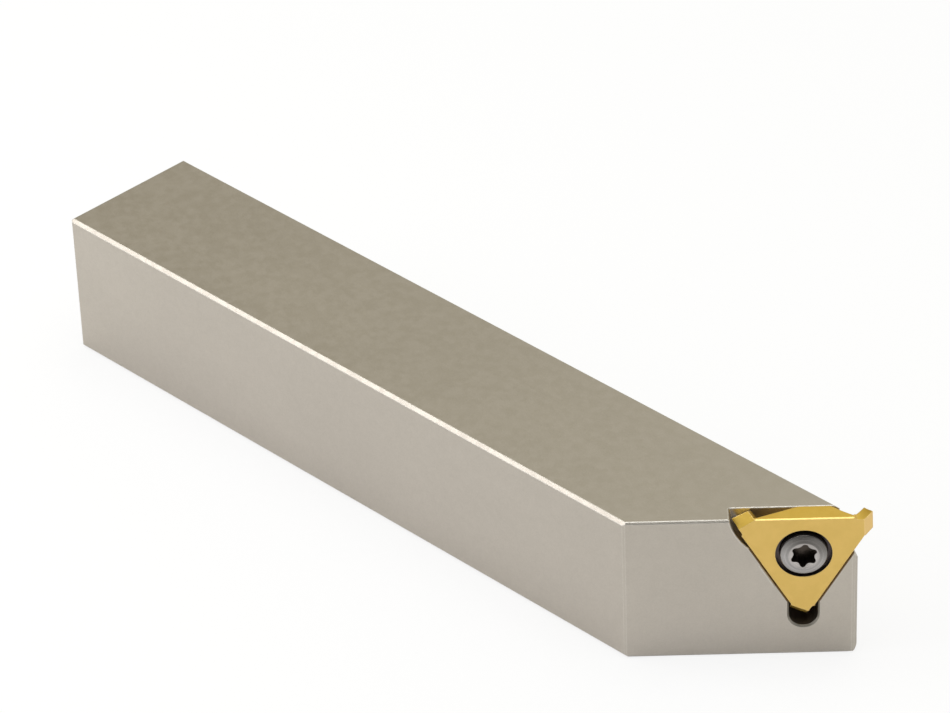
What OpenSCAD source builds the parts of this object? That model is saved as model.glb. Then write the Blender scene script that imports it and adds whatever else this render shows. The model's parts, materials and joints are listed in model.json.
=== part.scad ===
// Square-shank turning tool holder with a 45 degree head. A three-edged grooving
// insert lies flat in a pocket in the slanted face and is held by one countersunk
// clamp screw. X runs along the shank towards the cutting end, Z is up, and the
// origin is on the base face under the middle of the shank.

/* [Shank] */
// Width of the shank, across Y
shank_w = 25; // [25:0.5:28]
// Height of the shank, and of the cutting edge above the base
shank_h = 25; // [24:0.5:32]
// Length of the holder without the insert, whose tooth stands out 1.16 further
holder_l = 148.84; // [98.84:1:198.84]
// Bevel along the long edges and round the rear end
edge_bevel = 0.5; // [0.2:0.05:0.8]
// Radius of the lower edge on the side that the tooth stands out of
far_edge_r = 1.5; // [0.8:0.1:2.5]

/* [Head] */
// Width of the square end left beyond the slanted face
end_land = 0.8; // [0.5:0.1:1.2]
// Place of the clamp screw along the slanted face, from its near vertical edge
screw_place = 26.75; // [26:0.05:27]
// Bevel along the upper and lower edge of the slanted face
face_bevel = 0.3; // [0.1:0.05:0.4]
// Bevel round the mouth of the insert's pocket
pocket_bevel = 0.22; // [0.1:0.02:0.3]
// Depth of the round recess in the pocket wall that clears the idle tooth
recess_d = 0.58; // [0.4:0.02:0.8]
// Height of the middle of the recess above the screw axis
recess_y = 3.7; // [3.4:0.1:4]
// Radius of the recess
recess_r = 9.25; // [8:0.25:12]
// Width of the round-ended slot that clears the lower tooth
slot_w = 4.35; // [4.3:0.05:4.8]
// Depth of that slot below the slanted face
slot_d = 5.5; // [4:0.25:5.75]

/* [Insert] */
// Diameter of the circle inscribed in the triangle
insert_ic = 12.7; // [12.5:0.05:12.9]
// Thickness of the insert
insert_t = 3.18; // [3.1:0.02:3.3]
// Bevel along the front edges of the insert, measured through its thickness
insert_bevel = 0.25; // [0.1:0.05:0.35]
// Width of each tooth at its cutting edge
tooth_w = 1.9; // [1.7:0.05:2]
// Angle between a tooth and the plate, seen along the cutting edge
tooth_turn = 47; // [45:0.5:49]
// Distance from the screw axis to the start of the tooth's front relief
tooth_start = 8.88; // [8.7:0.02:9]
// Distance from the screw axis to the outer cutting corner
tooth_reach = 10.25; // [10:0.05:10.4]
// Height of a tooth below the cutting edge, at its root
tooth_h = 3.26; // [3:0.02:3.4]
// Depth of the ground chip hollow below the cutting edge
chip_hollow_d = 0.38; // [0.25:0.01:0.45]

/* [Clamp screw] */
// Outer diameter of the screw thread
screw_d = 5; // [4.8:0.1:5]
// Diameter of the screw head
head_d = 7; // [6.8:0.1:7.2]
// Length of the screw, from the rim of its head to its point
screw_l = 7.2; // [6.5:0.1:7.3]
// Radius of the shallow crown of the screw head
crown_r = 9.5; // [8:0.5:12]
// Point to point width of the six-lobed driver socket
socket_w = 4.1; // [3.95:0.05:4.2]
// Depth of the driver socket
socket_d = 1.9; // [1.5:0.1:2.2]
// Direction of the first socket lobe
socket_turn = 24; // [0:1:59]

/* [Hidden] */
$fn = 96;

// Reach of the blocks that cut away everything on one side of a plane
far = 40;
rear_x = -holder_l / 2;
front_x = holder_l / 2;
near_y = -shank_w / 2;
far_y = shank_w / 2;

// The slanted face starts at this X on the near side
face_x = front_x - (shank_w - end_land);
// The screw axis is as far below the shank's top as the triangle's own inner radius
insert_r = insert_ic / 2;
seat = [face_x + screw_place * cos(45), near_y + screw_place * sin(45), shank_h - insert_r];

// The insert's hole: a round well with a flat floor, then the countersink that the
// screw's cone sits in, then the bore
well_r = 4.25;
well_d = 0.9;
cone_half = 30;
sink_r = 3.6;
insert_bore_r = 2.65;
sink_d = (sink_r - insert_bore_r) / tan(cone_half);
// How far the rim of the crowned head stands out of the insert's face, and how far the
// crown's top would, if it went on across the socket
head_proud = 0.3;
head_bevel = 0.1;
crown_out = head_proud + crown_r - sqrt(crown_r * crown_r - pow(head_d / 2 - head_bevel, 2));
seat_gap = 0.03;
rim_d = well_d + (sink_r - head_d / 2) / tan(cone_half) - seat_gap;
neck_d = rim_d + (head_d - screw_d) / 2 / tan(cone_half);
point_l = 0.9;
thread_gap = 0.05;
socket_inner_r = 0.385 * socket_w;
// The socket's mouth is a shallow countersink in the crown
mouth_r = 0.56 * socket_w;
mouth_out = crown_out - crown_r + sqrt(crown_r * crown_r - mouth_r * mouth_r);
mouth_d = 0.22;
mouth_h = 0.6;

// Cutting corner of a tooth, its lower front corner and the root of its front relief,
// as [along the cutting edge, up, out of the plate]
cut_corner = [tooth_reach, insert_r, -(tooth_reach - tooth_start) * tan(tooth_turn)];
relief_root = [tooth_start, insert_r - chip_hollow_d, 0];
relief_tilt = 3.4;
tooth_foot = [tooth_start + 0.22, insert_r - tooth_h, 0];
foot_rise = 16;
end_turn = 38;
end_tilt = -1.5;
side_clearance = 6;
// The plate is ground away behind each tooth by a round wheel, which runs parallel to
// the next side and rises through the plate: its radius, its rise and its centre,
// across that side and behind the plate
grind_r = 14;
grind_rise = 22.6;
grind_centre = [8.8, 17];
// Angle between the bevel of the insert's front edges and its sides
bevel_slope = 30;
// Chip hollow: a shallow round trough with a steep inner end
hollow_r = 4;
hollow_x = 8.35;
hollow_start = 7.45;
hollow_slope = 42;

// Slot for the lower tooth, below the screw axis
slot_y = -11.25;
slot_bevel = 0.28;
// The sharp fin between the pocket and the far side is blunted from here outwards
blunt_y = 0.1;
blunt_l = 1.2;
// The bevel is wider here, between these heights on the left side of the pocket
wide_bevel = 0.45;
wide_from = -5.7;
wide_to = -1.9;

// Left end of the pocket in the shank's top, and how far the recess still reaches
// outside the triangle there
recess_rise = (insert_r - recess_y) / cos(30);
recess_top = sqrt(recess_r * recess_r - recess_rise * recess_rise) - recess_r + recess_d;
pocket_left = -3 * insert_r * tan(30) - max(0, recess_top) / cos(30);
// Bevels where the pocket opens into the shank's top, with a small gap between them in
// its inner corner, and on the slanted face's two vertical edges, all measured along
// the faces that meet there
top_bevel = 0.12;
bevel_gap = 0.2;
corner_bevel = 0.24;
// How far a tool that cuts off an edge reaches beyond it
cutter = 1;

// Places its children on the slanted face: x along it, y up, z out of it,
// with the screw axis at the origin
module on_face() {
  translate(seat) rotate([90, 0, 45]) children();
}

// Everything beyond a plane through p, whose outward direction is the x axis
// tipped up by tilt and then swung back by turn
module beyond(p, turn = 0, tilt = 0) {
  translate(p) rotate([0, turn, 0]) rotate([0, 0, tilt])
    translate([0, -far, -far]) cube([far, 2 * far, 2 * far]);
}

// Square bar along X, set on its corner, that bevels a square edge
module bevel_bar(l, b) {
  rotate([45, 0, 0]) cube([l, b * sqrt(2), b * sqrt(2)], center = true);
}

// Flat cut along X that bevels the square edge at the origin, whose material lies at
// negative y and negative z
module edge_cut(l, b) {
  rotate([45, 0, 0]) translate([0, -b / sqrt(2), -cutter]) cube([l, cutter, 2 * cutter]);
}

// Flat cut across an upright edge at the origin: it lies d inside the edge and faces
// the direction turn
module upright_cut(h, turn, d) {
  rotate(turn) translate([-d, -cutter, 0]) cube([2 * cutter, 2 * cutter, h]);
}

// Section of the shank, y across and z up
module shank_section() {
  b = edge_bevel;
  difference() {
    translate([near_y, 0]) square([shank_w, shank_h]);
    for (c = [[near_y, 0], [near_y, shank_h], [far_y, shank_h]])
      translate(c) rotate(45) square(b * sqrt(2), center = true);
    difference() {
      translate([far_y - far_edge_r, -1]) square([far_edge_r + 1, far_edge_r + 1]);
      translate([far_y - far_edge_r, far_edge_r]) circle(r = far_edge_r);
    }
  }
}

module shank_bar() {
  translate([rear_x, 0, 0]) rotate([90, 0, 90]) linear_extrude(holder_l) shank_section();
}

// Bevels round the square rear end
module rear_bevels() {
  for (z = [0, shank_h])
    translate([rear_x, 0, z]) rotate([0, 0, 90]) bevel_bar(shank_w + 2, edge_bevel);
  for (y = [near_y, far_y])
    translate([rear_x, y, shank_h / 2]) rotate([0, 90, 0]) bevel_bar(shank_h + 2, edge_bevel);
}

// The corner cut off by the slanted face, with fine bevels on that face's edges
module slant_cut() {
  face_l = (shank_w - end_land) * sqrt(2);
  translate([face_x, near_y, 0]) rotate([0, 0, 45]) {
    translate([-far, -far, -1]) cube([3 * far, far, shank_h + 2]);
    for (z = [0, shank_h]) translate([face_l / 2, 0, z]) bevel_bar(face_l + far, face_bevel);
    for (e = [[0, -22.5], [face_l, 22.5]])
      translate([e[0], 0, -1]) upright_cut(shank_h + 2, e[1] - 90, corner_bevel * sin(22.5));
  }
}

// Triangle of the insert, with one corner pointing down
module triangle() {
  rotate(30) circle(r = 2 * insert_r, $fn = 3);
}

// Places its children on the left side of the pocket, at a height above the screw
// axis: x up along that side, y out of the pocket, z out of the slanted face
module on_left_side(height) {
  translate([-(2 * insert_r + height) * tan(30), height]) rotate(120) children();
}

// Outline of the pocket: it follows the two lower sides of the insert and is open
// above and towards the end
module pocket_outline() {
  top = insert_r + 3;
  tip = 2 * insert_r;
  polygon([
    [0, -tip],
    [(tip + blunt_y) * tan(30), blunt_y],
    [(tip + blunt_y) * tan(30) + blunt_l / 2, blunt_y - blunt_l],
    [far, blunt_y - blunt_l],
    [far, top],
    [-(tip + top) * tan(30), top]
  ]);
}

// Pocket for the insert, with the recess for the idle tooth and with bevels round its
// mouth and where it opens into the shank's top
module pocket() {
  b = pocket_bevel;
  side_l = 3 * insert_r / cos(30);
  wide_l = (wide_to - wide_from) / cos(30);
  translate([0, 0, -insert_t]) {
    linear_extrude(insert_t + 5) pocket_outline();
    translate([pocket_left + bevel_gap + far / 2, insert_r, 0]) bevel_bar(far, top_bevel);
    translate([pocket_left, insert_r, bevel_gap])
      upright_cut(insert_t + 5, 60, top_bevel * sin(30));
  }
  on_left_side(recess_y) translate([0, recess_d - recess_r, -insert_t]) {
    cylinder(r = recess_r, h = insert_t + 5);
    translate([0, 0, insert_t - 0.7 * b - cutter])
      cylinder(r1 = recess_r - cutter, r2 = recess_r + cutter, h = 2 * cutter);
  }
  for (side = [0, 1])
    mirror([side, 0, 0]) translate([0, -2 * insert_r, 0]) rotate(60) edge_cut(side_l, b);
  on_left_side(wide_from) mirror([0, 1, 0]) edge_cut(wide_l, wide_bevel);
}

// Slot that the lower tooth hangs into, with a bevelled rim
module tooth_slot() {
  r = slot_w / 2;
  b = slot_bevel;
  translate([0, slot_y, -slot_d]) cylinder(r = r, h = slot_d + 1);
  translate([-r, slot_y, -slot_d]) cube([slot_w, -slot_y - insert_r, slot_d + 1]);
  translate([0, slot_y, -b]) cylinder(r1 = r, r2 = r + 2 * b, h = 2 * b);
  translate([0, slot_y + 3, 0]) rotate([90, 0, 0]) linear_extrude(3)
    polygon([[-r, -b], [r, -b], [r + 2 * b, b], [-r - 2 * b, b]]);
}

module holder_body() {
  color([0.70, 0.67, 0.61])
    difference() {
      shank_bar();
      rear_bevels();
      slant_cut();
      on_face() {
        pocket();
        tooth_slot();
        // tapped hole for the clamp screw, right through to the far side
        translate([0, 0, -far]) cylinder(r = screw_d / 2 + thread_gap, h = far);
      }
    }
}

// One tooth at the right-hand corner, standing out of the back of the plate
module tooth() {
  other_corner = cut_corner - tooth_w * [sin(tooth_turn), 0, cos(tooth_turn)];
  difference() {
    translate([6.6, 2, -insert_t]) cube([5, insert_r - 2, insert_t]);
    beyond(relief_root, tooth_turn - 90, relief_tilt);
    beyond(other_corner, tooth_turn + 90 + side_clearance, -relief_tilt / 2);
    beyond(cut_corner, end_turn, end_tilt);
    translate(tooth_foot) rotate([0, tooth_turn, 0]) rotate([0, 0, foot_rise])
      translate([-far, -2 * far, -far]) cube(2 * far);
  }
}

// Ground hollow in front of the cutting edge
module chip_hollow() {
  translate([0, 0, -far / 2]) linear_extrude(far)
    difference() {
      translate([hollow_x, insert_r - chip_hollow_d + hollow_r]) circle(r = hollow_r);
      translate([hollow_start, insert_r]) rotate(180 - hollow_slope)
        translate([-far, 0]) square([2 * far, far]);
    }
}

// Clearance ground into the back of the plate, behind the right-hand tooth
module back_grind() {
  rotate([grind_rise - 90, 0, -30]) translate([grind_centre[0], grind_centre[1], -far])
    cylinder(r = grind_r, h = 2 * far);
}

// Bevel along the front edge of the plate's upper side, from tooth to tooth
module front_bevel() {
  // where the relief of the tooth on the left reaches this edge
  from = tooth_foot[0] * cos(120) - tooth_foot[1] * sin(120);
  translate([from, insert_r, 0]) rotate([bevel_slope, 0, 0])
    translate([0, -insert_bevel * sin(bevel_slope), -cutter])
      cube([hollow_start - from, cutter, 2 * cutter]);
}

module cutting_insert() {
  color([0.83, 0.69, 0.33])
    on_face()
      difference() {
        union() {
          difference() {
            translate([0, 0, -insert_t]) linear_extrude(insert_t) triangle();
            for (k = [0:2]) rotate(120 * k) {
              beyond(relief_root, tooth_turn - 90, relief_tilt);
              back_grind();
            }
          }
          for (k = [0:2]) rotate(120 * k) tooth();
        }
        for (k = [0:2]) rotate(120 * k) {
          chip_hollow();
          front_bevel();
        }
        translate([0, 0, -insert_t - 1]) cylinder(r = insert_bore_r, h = insert_t + 2);
        translate([0, 0, -well_d - sink_d]) cylinder(r1 = insert_bore_r, r2 = sink_r, h = sink_d);
        translate([0, 0, -well_d]) cylinder(r = well_r, h = well_d + 1);
      }
}

// Six-lobed outline of the driver socket: round lobes, and round bites that run
// smoothly into them
module socket_outline() {
  lobe_r = 0.115 * socket_w;
  lobe_x = socket_w / 2 - lobe_r;
  between = lobe_x * lobe_x + socket_inner_r * socket_inner_r
    - 2 * lobe_x * socket_inner_r * cos(30);
  bite_r = (between - lobe_r * lobe_r) / 2 / (lobe_r - socket_inner_r + lobe_x * cos(30));
  bite = (socket_inner_r + bite_r) * [cos(30), sin(30)];
  joint = [lobe_x, 0] + (bite - [lobe_x, 0]) * lobe_r / (lobe_r + bite_r);
  difference() {
    union() {
      circle(r = norm(joint));
      for (k = [0:5]) rotate(60 * k) translate([lobe_x, 0]) circle(r = lobe_r);
    }
    for (k = [0:5]) rotate(60 * k) translate(bite) circle(r = bite_r);
  }
}

module clamp_screw() {
  r = screw_d / 2;
  hr = head_d / 2;
  mouth_end_r = socket_inner_r + (mouth_r - socket_inner_r) * mouth_h / mouth_d;
  color([0.62, 0.62, 0.62])
    on_face()
      difference() {
        intersection() {
          rotate_extrude()
            polygon([
              [0, crown_out],
              [hr - head_bevel, crown_out],
              [hr - head_bevel, head_proud],
              [hr, head_proud - head_bevel],
              [hr, -rim_d],
              [r, -neck_d],
              [r, head_proud - screw_l + point_l],
              [r - point_l, head_proud - screw_l],
              [0, head_proud - screw_l]
            ]);
          translate([0, 0, crown_out - crown_r]) sphere(r = crown_r);
        }
        rotate(socket_turn)
          translate([0, 0, mouth_out - socket_d]) linear_extrude(socket_d + 1) socket_outline();
        translate([0, 0, mouth_out - mouth_d])
          cylinder(r1 = socket_inner_r, r2 = mouth_end_r, h = mouth_h);
      }
}

holder_body();
cutting_insert();
clamp_screw();
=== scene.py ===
import json
import math

import bpy
from mathutils import Matrix, Vector


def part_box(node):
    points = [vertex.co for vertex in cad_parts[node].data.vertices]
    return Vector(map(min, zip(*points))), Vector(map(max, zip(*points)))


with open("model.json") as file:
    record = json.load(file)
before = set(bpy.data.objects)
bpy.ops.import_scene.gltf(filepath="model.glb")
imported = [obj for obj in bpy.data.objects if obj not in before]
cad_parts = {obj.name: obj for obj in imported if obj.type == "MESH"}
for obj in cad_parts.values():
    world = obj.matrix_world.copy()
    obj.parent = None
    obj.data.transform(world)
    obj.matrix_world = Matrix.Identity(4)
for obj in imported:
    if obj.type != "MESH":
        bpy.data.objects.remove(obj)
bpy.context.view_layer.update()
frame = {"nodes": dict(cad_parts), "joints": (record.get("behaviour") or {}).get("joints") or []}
nodes = frame["nodes"]

# Measures of the part that the finishes and the camera follow, in metres. Those on the
# slanted face are taken from the screw axis: along the face, up it and out of it
MM = 0.001
SHANK_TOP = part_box("holder_body")[1].z
ALONG_FACE = Vector((1, 1, 0)).normalized()
OUT_OF_FACE = Vector((1, -1, 0)).normalized()
UP = Vector((0, 0, 1))
SEAT = Vector(frame["joints"][0]["pos_m"])
TRIANGLE_R = 6.35 * MM
TOOTH_START = 8.9 * MM
RECESS_LOW = 0.9 * MM
WELL_R = 4.25 * MM
SOCKET_R = 2.05 * MM
MOUTH_R = 2.3 * MM
SLOT_TOP = -8.6 * MM
SLOT_Y = -11.25 * MM
SLOT_R = 2.3 * MM
SLOT_RIM = 0.28 * MM
SLOT_DEPTH = 5.5 * MM

# Radius of the rounding that each finish gives to the edges
HOLDER_EDGE = 0.25 * MM
SLOT_EDGE = 0.07 * MM
INSERT_EDGE = 0.14 * MM
SCREW_EDGE = 0.06 * MM

# Floor: half its width, how far it lies below the part, and how much of it is plain
# white when seen directly and when mirrored; the rest keeps the shadow
FLOOR_HALF = 6.0
FLOOR_GAP = 0.02 * MM
WHITE_SEEN = 0.82
WHITE_MIRRORED = 0.12

# Camera: azimuth and elevation that it looks from, its turn about its own axis, its
# distance from the middle of the shank, its offset and its focal length in pixels
AZIMUTH = 46.3793
ELEVATION = 34.0699
ROLL = -2.2336
DISTANCE = 0.7670445
OFFSET = (0.0043193, 0.0108426)
FOCAL_PX = 4892.98
IMAGE_W = 950
SENSOR_MM = 36
CLIP_NEAR = 0.01
CLIP_FAR = 20


def make_camera():
    a, e, r = (math.radians(v) for v in (AZIMUTH, ELEVATION, ROLL))
    back = Vector((math.sin(a) * math.cos(e), -math.cos(a) * math.cos(e), math.sin(e)))
    level = UP.cross(back).normalized()
    tall = back.cross(level)
    right = math.cos(r) * level + math.sin(r) * tall
    top = math.cos(r) * tall - math.sin(r) * level
    place = UP * SHANK_TOP / 2 + back * DISTANCE + right * OFFSET[0] + top * OFFSET[1]
    camera = bpy.data.objects.new("camera", bpy.data.cameras.new("camera"))
    turned = Matrix((right, top, back)).transposed().to_4x4()
    camera.matrix_world = Matrix.Translation(place) @ turned
    camera.data.sensor_width = SENSOR_MM
    camera.data.lens = FOCAL_PX / IMAGE_W * SENSOR_MM
    camera.data.clip_start = CLIP_NEAR
    camera.data.clip_end = CLIP_FAR
    bpy.context.scene.collection.objects.link(camera)
    bpy.context.scene.camera = camera


class Graph:
    """The node tree of a material or of the world, with short calls to add to it."""

    def __init__(self, owner):
        owner.use_nodes = True
        self.tree = owner.node_tree
        self.tree.nodes.clear()

    def add(self, kind, out=0, settings=None, **inputs):
        """Adds a node and gives the output at place or name out.

        An input is a value or another node's output, under its name, or under i and its
        place among the node's inputs.
        """
        node = self.tree.nodes.new("ShaderNode" + kind)
        for key, value in (settings or {}).items():
            setattr(node, key, value)
        for key, value in inputs.items():
            place = key[1:]
            name = int(place) if place.isdigit() else key.replace("_", " ")
            self.put(node.inputs[name], value)
        return node.outputs[out]

    def put(self, socket, value):
        if isinstance(value, bpy.types.NodeSocket):
            self.tree.links.new(value, socket)
        else:
            socket.default_value = value

    def math(self, operation, *values):
        inputs = {f"i{k}": value for k, value in enumerate(values)}
        return self.add("Math", settings={"operation": operation}, **inputs)

    def product(self, first, *others):
        result = first
        for other in others:
            result = self.math("MULTIPLY", result, other)
        return result

    def length(self, a, b):
        """Length of a vector with two parts."""
        squares = self.math("ADD", self.product(a, a), self.product(b, b))
        return self.math("SQRT", squares)

    def vector(self, operation, *values, out=0):
        inputs = {f"i{k}": value for k, value in enumerate(values)}
        return self.add("VectorMath", out, {"operation": operation}, **inputs)

    def dot(self, a, b):
        return self.vector("DOT_PRODUCT", a, b, out=1)

    def stretched(self, vector, scale):
        return self.vector("MULTIPLY", vector, scale)

    def scaled(self, vector, factor):
        result = self.vector("SCALE", vector)
        self.put(result.node.inputs["Scale"], factor)
        return result

    def smooth(self, value, low, high, to_low=0.0, to_high=1.0):
        """value brought from the range low..high to to_low..to_high, with soft ends."""
        settings = {"interpolation_type": "SMOOTHSTEP"}
        ends = {"From_Min": low, "From_Max": high, "To_Min": to_low, "To_Max": to_high}
        return self.add("MapRange", settings=settings, Value=value, **ends)

    def mix(self, factor, a, b, blend="MIX"):
        settings = {"data_type": "RGBA", "blend_type": blend}
        return self.add("Mix", 2, settings, i0=factor, i6=a, i7=b)

    def noise(self, vector, scale, detail, roughness):
        return self.add("TexNoise", Vector=vector, Scale=scale, Detail=detail, Roughness=roughness)

    def on_face(self, point):
        """A point's place along the slanted face, up it and out of it, from the screw axis."""
        from_seat = self.vector("SUBTRACT", point, SEAT)
        return [self.dot(from_seat, axis) for axis in (ALONG_FACE, UP, OUT_OF_FACE)]

    def facing(self):
        """1 where the surface faces the same way as the slanted face, 0 square to it."""
        return self.dot(self.add("NewGeometry", "True Normal"), OUT_OF_FACE)

    def edges(self, radius):
        """Rounded normals, and how much they differ from the flat ones: 1 on an edge."""
        rounded = self.add("Bevel", settings={"samples": 6}, Radius=radius)
        flat = self.add("NewGeometry", "True Normal")
        return rounded, self.smooth(self.dot(rounded, flat), 0.999, 0.96)

    def bump(self, height, strength, distance, normal):
        return self.add("Bump", Height=height, Strength=strength, Distance=distance, Normal=normal)

    def seen_directly(self):
        """1 for what the camera sees itself or through something clear, and 0 otherwise."""
        rays = [self.add("LightPath", name) for name in ("Is Camera Ray", "Is Transmission Ray")]
        return self.math("MAXIMUM", *rays)

    def end(self, kind, shader):
        """Ends the tree with the output node of a Material or a World."""
        output = self.tree.nodes.new("ShaderNodeOutput" + kind)
        self.tree.links.new(shader, output.inputs["Surface"])


def new_material(name):
    material = bpy.data.materials.new(name)
    return material, Graph(material)


def clear_of_walls(g, distance, gain):
    """1 on open surfaces, falling to 0 deep between the piece's own walls; it sets where painted
    shade darkens the colour.
    """
    settings = {"samples": 8, "only_local": True}
    open_share = g.add("AmbientOcclusion", "AO", settings, Distance=distance)
    return g.math("POWER", open_share, gain)


def along_insert(g, across, up):
    """1 beside the insert's two lower sides, up to the recess."""
    sideways = g.product(g.math("ABSOLUTE", across), math.cos(math.pi / 6))
    upward = g.product(g.math("ADD", up, 2 * TRIANGLE_R), 0.5)
    beside = g.math("SUBTRACT", sideways, upward)
    below_recess = g.smooth(up, RECESS_LOW + 0.4 * MM, RECESS_LOW)
    return g.product(g.smooth(beside, 0.30 * MM, 0.18 * MM), below_recess)


def inside_slot(g, across, up, out):
    """1 in the slot for the lower tooth, behind its rim."""
    low = g.smooth(up, SLOT_TOP, SLOT_TOP - 0.2 * MM)
    behind_rim = g.smooth(out, -SLOT_RIM, -SLOT_RIM - 0.15 * MM)
    between_sides = g.smooth(g.math("ABSOLUTE", across), SLOT_R + 0.3 * MM, SLOT_R)
    above_floor = g.smooth(out, -SLOT_DEPTH - 0.2 * MM, -SLOT_DEPTH - 0.05 * MM)
    return g.product(low, behind_rim, between_sides, above_floor)


def holder_steel():
    material, g = new_material("holder_steel")
    point = g.add("TexCoord", "Object")
    across, up, out = g.on_face(point)
    shallow = g.smooth(out, -0.6 * MM, -0.4 * MM)
    from_slot = g.length(across, g.math("SUBTRACT", up, SLOT_Y))
    near_slot = g.product(g.smooth(from_slot, 3.6 * MM, 3.2 * MM), shallow)
    rounded, edge = g.edges(g.smooth(near_slot, 0.0, 1.0, HOLDER_EDGE, SLOT_EDGE))

    # satin plating over a ground surface: fine lines along the shank, soft cloudiness
    lines = g.noise(g.stretched(point, (60, 5200, 5200)), 1.0, 3.0, 0.6)
    grain = g.noise(point, 3800.0, 3.0, 0.7)
    cloud = g.noise(g.stretched(point, (26, 60, 60)), 1.0, 3.0, 0.55)
    height = g.math("ADD", g.product(lines, 0.6), g.product(grain, 0.4))
    normal = g.bump(height, 0.10, 0.02 * MM, rounded)

    cloud_tone = g.smooth(cloud, 0.3, 0.7, 0.98, 1.02)
    grain_tone = g.smooth(grain, 0.25, 0.75, 0.965, 1.035)
    colour = g.scaled((0.505, 0.465, 0.418), g.product(cloud_tone, grain_tone))
    colour = g.mix(g.product(edge, 0.55), colour, (0.80, 0.785, 0.75, 1))

    # painted reflection: the bevels along the insert's lower sides are coloured dark gold, as if they
    # mirrored its shaded side
    painted_gold_reflection = g.product(along_insert(g, across, up), shallow)
    colour = g.mix(g.product(painted_gold_reflection, 0.9), colour, (0.120, 0.065, 0.016, 1))

    # painted shade: the slot's rim is coloured darker than the faces
    rim = g.product(near_slot, g.smooth(g.facing(), 0.95, 0.85))
    colour = g.mix(g.product(rim, 0.75), colour, (0.230, 0.215, 0.180, 1))

    # painted shade: the slot, the tapped hole and the narrow parts of the pocket are coloured dark
    in_slot = inside_slot(g, across, up, out)
    light_share = g.math("SUBTRACT", 1.0, g.product(in_slot, 0.6))
    shade = g.product(clear_of_walls(g, 2.0 * MM, 0.35), light_share)
    dark = g.mix(in_slot, (0.050, 0.036, 0.022, 1), (0.150, 0.100, 0.082, 1))
    colour = g.mix(shade, dark, colour)

    rough = g.smooth(g.noise(point, 700.0, 3.0, 0.6), 0.3, 0.7, 0.36, 0.44)
    rough = g.math("SUBTRACT", rough, g.product(edge, 0.08))
    shader = g.add("BsdfPrincipled", Base_Color=colour, Metallic=0.9, Roughness=rough, Normal=normal)
    g.end("Material", shader)
    return material


def insert_coating():
    material, g = new_material("insert_coating")
    point = g.add("TexCoord", "Object")
    across, up, out = g.on_face(point)
    rounded, edge = g.edges(INSERT_EDGE)
    facing = g.facing()
    ground = g.smooth(facing, 0.97, 0.9)

    # fine grain all over, and grinding lines on the sides and the teeth
    grain = g.noise(point, 12000.0, 3.0, 0.6)
    lines = g.noise(g.stretched(point, (900, 900, 14000)), 1.0, 2.0, 0.5)
    height = g.math("ADD", g.product(grain, 0.7), g.product(lines, ground, 0.5))
    normal = g.bump(height, 0.06, 0.02 * MM, rounded)

    cloud = g.smooth(g.noise(point, 420.0, 3.0, 0.6), 0.3, 0.7)
    face_gold = g.mix(cloud, (0.720, 0.490, 0.140, 1), (0.755, 0.515, 0.154, 1))
    ground_gold = g.mix(cloud, (0.735, 0.480, 0.080, 1), (0.775, 0.520, 0.100, 1))
    colour = g.mix(ground, face_gold, ground_gold)

    # the teeth's front reliefs and the edges are lighter, and the slanting bevels are a lighter gold
    # as a painted highlight
    on_tooth = g.smooth(across, TOOTH_START - 0.1 * MM, TOOTH_START + 0.1 * MM)
    relief = g.product(on_tooth, g.smooth(facing, 0.45, 0.6))
    colour = g.mix(g.product(relief, 0.8), colour, (0.84, 0.58, 0.25, 1))
    colour = g.mix(g.product(edge, 0.65), colour, (0.94, 0.72, 0.34, 1))
    # painted highlight: lighter gold on the slanting bevels
    slanting = g.product(g.smooth(facing, 0.40, 0.48), g.smooth(facing, 0.60, 0.52))
    colour = g.mix(slanting, colour, (0.80, 0.57, 0.20, 1))

    # painted shade: the well round the screw head is coloured dark
    within = g.smooth(g.length(across, up), WELL_R + 0.05 * MM, WELL_R + 0.02 * MM)
    in_well = g.product(within, g.smooth(out, -0.03 * MM, -0.08 * MM))
    colour = g.mix(in_well, colour, (0.085, 0.068, 0.070, 1))

    rough = g.smooth(g.noise(point, 1500.0, 3.0, 0.6), 0.3, 0.7, 0.33, 0.41)
    shader = g.add("BsdfPrincipled", Base_Color=colour, Metallic=0.8, Roughness=rough, Normal=normal)
    g.end("Material", shader)
    return material


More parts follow.
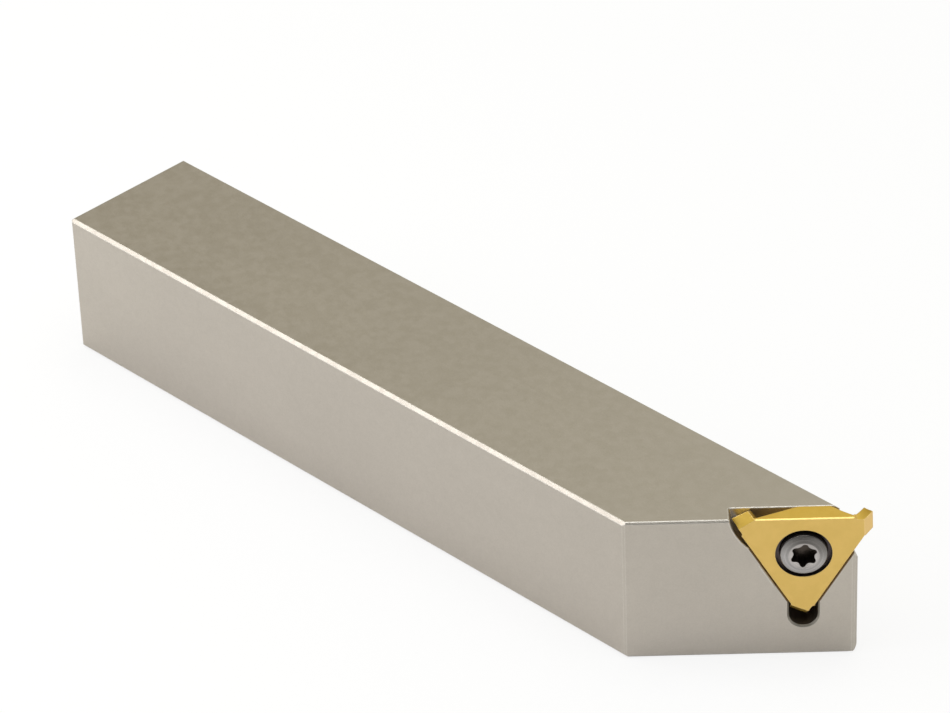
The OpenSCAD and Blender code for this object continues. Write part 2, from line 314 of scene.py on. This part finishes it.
def screw_steel():
    material, g = new_material("screw_steel")
    point = g.add("TexCoord", "Object")
    across, up, out = g.on_face(point)
    radius = g.length(across, up)
    rounded, edge = g.edges(SCREW_EDGE)

    # rings left by turning the head
    outward = g.add("CombineXYZ", X=g.product(radius, 3000.0), Y=0.0, Z=0.0)
    rings = g.noise(outward, 1.0, 3.0, 0.7)
    normal = g.bump(rings, 0.4, 0.05 * MM, rounded)
    around = g.vector("CROSS_PRODUCT", g.vector("SUBTRACT", point, SEAT), OUT_OF_FACE)
    tangent = g.vector("NORMALIZE", around)
    colour = g.scaled((0.40, 0.385, 0.385), g.smooth(rings, 0.32, 0.68, 0.66, 1.24))

    # painted shade darkens the head towards the top, and painted highlights lighten the edges and the
    # countersunk mouth of the socket
    topwards = g.math("ADD", up, g.product(across, 0.25))
    colour = g.mix(g.smooth(topwards, -1.5 * MM, 2.6 * MM), colour, (0.44, 0.43, 0.42, 1), "MULTIPLY")
    mouth = g.smooth(radius, MOUTH_R + 0.04 * MM, MOUTH_R - 0.04 * MM)
    light = g.math("MAXIMUM", g.product(mouth, 0.5), g.product(edge, 0.4))
    colour = g.mix(light, colour, (0.66, 0.62, 0.61, 1))

    # painted shade: the socket's walls and floor and all that lies under the head's rim are coloured
    # dark
    in_socket = g.smooth(radius, SOCKET_R + 0.02 * MM, SOCKET_R)
    wall = g.product(in_socket, g.smooth(g.facing(), 0.9, 0.7))
    floor = g.product(in_socket, g.smooth(out, -0.4 * MM, -0.6 * MM))
    below = g.smooth(out, -0.15 * MM, -0.3 * MM)
    dark = g.math("MAXIMUM", g.math("MAXIMUM", wall, floor), below)
    colour = g.mix(dark, colour, (0.065, 0.052, 0.044, 1))

    shader = g.add("BsdfPrincipled", Base_Color=colour, Metallic=0.85, Roughness=0.26,
                   Anisotropic=0.3, Tangent=tangent, Normal=normal)
    g.end("Material", shader)
    return material


def dress(name, material):
    nodes[name].data.materials.clear()
    nodes[name].data.materials.append(material)


def pale_floor():
    """White floor that keeps the object's shadow."""
    material, g = new_material("pale_floor")
    mirrored = g.product(g.add("LightPath", "Is Glossy Ray"), WHITE_MIRRORED)
    share = g.math("MAXIMUM", g.product(g.seen_directly(), WHITE_SEEN), mirrored)
    matt = g.add("BsdfDiffuse", Color=(0.92, 0.92, 0.92, 1))
    white = g.add("Emission", Color=(1, 1, 1, 1), Strength=1.0)
    g.end("Material", g.add("MixShader", i0=share, i1=matt, i2=white))

    mesh = bpy.data.meshes.new("floor")
    turns = ((-1, -1), (1, -1), (1, 1), (-1, 1))
    corners = [(x * FLOOR_HALF, y * FLOOR_HALF, -FLOOR_GAP) for x, y in turns]
    mesh.from_pydata(corners, [], [(0, 1, 2, 3)])
    mesh.materials.append(material)
    floor = bpy.data.objects.new("floor", mesh)
    bpy.context.scene.collection.objects.link(floor)


def studio_world():
    """Soft light from all round, warmer behind the shank and weakest behind its rear end,
    and dark in front of the head, where the photographer stands. Seen directly it is white."""
    world = bpy.data.worlds.new("studio")
    bpy.context.scene.world = world
    g = Graph(world)
    direction = g.add("TexCoord", "Generated")
    behind = g.dot(direction, Vector((-0.72, 0.69, 0)))
    headwards = g.dot(direction, Vector((0.80, 0.43, 0.41)))
    in_front = g.dot(direction, Vector((0.53, -0.58, 0.62)))
    warm = g.mix(g.smooth(headwards, -0.2, 0.2), (0.30, 0.26, 0.16, 1), (0.80, 0.79, 0.67, 1))
    colour = g.mix(g.smooth(behind, -0.3, 0.5), (0.64, 0.64, 0.64, 1), warm)
    colour = g.mix(g.smooth(in_front, 0.62, 0.88), colour, (0.16, 0.17, 0.15, 1))
    colour = g.mix(g.seen_directly(), colour, (1, 1, 1, 1))
    g.end("World", g.add("Background", Color=colour, Strength=1.0))


def softbox(name, direction, distance, width, height, radiance):
    """A rectangular lamp that faces the part's origin, under the middle of the shank."""
    lamp = bpy.data.lights.new(name, "AREA")
    lamp.shape = "RECTANGLE"
    lamp.size = width
    lamp.size_y = height
    lamp.energy = radiance * math.pi * width * height
    away = Vector(direction).normalized()
    turned = away.to_track_quat("Z", "Y").to_matrix().to_4x4()
    holder = bpy.data.objects.new(name, lamp)
    holder.matrix_world = Matrix.Translation(away * distance) @ turned
    bpy.context.scene.collection.objects.link(holder)


make_camera()
dress("holder_body", holder_steel())
dress("cutting_insert", insert_coating())
dress("clamp_screw", screw_steel())
pale_floor()
studio_world()
softbox("left_softbox", (-0.596, -0.561, 0.575), 0.5, 0.38, 0.38, 2.3)
softbox("top_softbox", (0.05, -0.05, 1.0), 0.9, 0.8, 0.8, 2.0)
bpy.context.scene.view_settings.view_transform = "Standard"
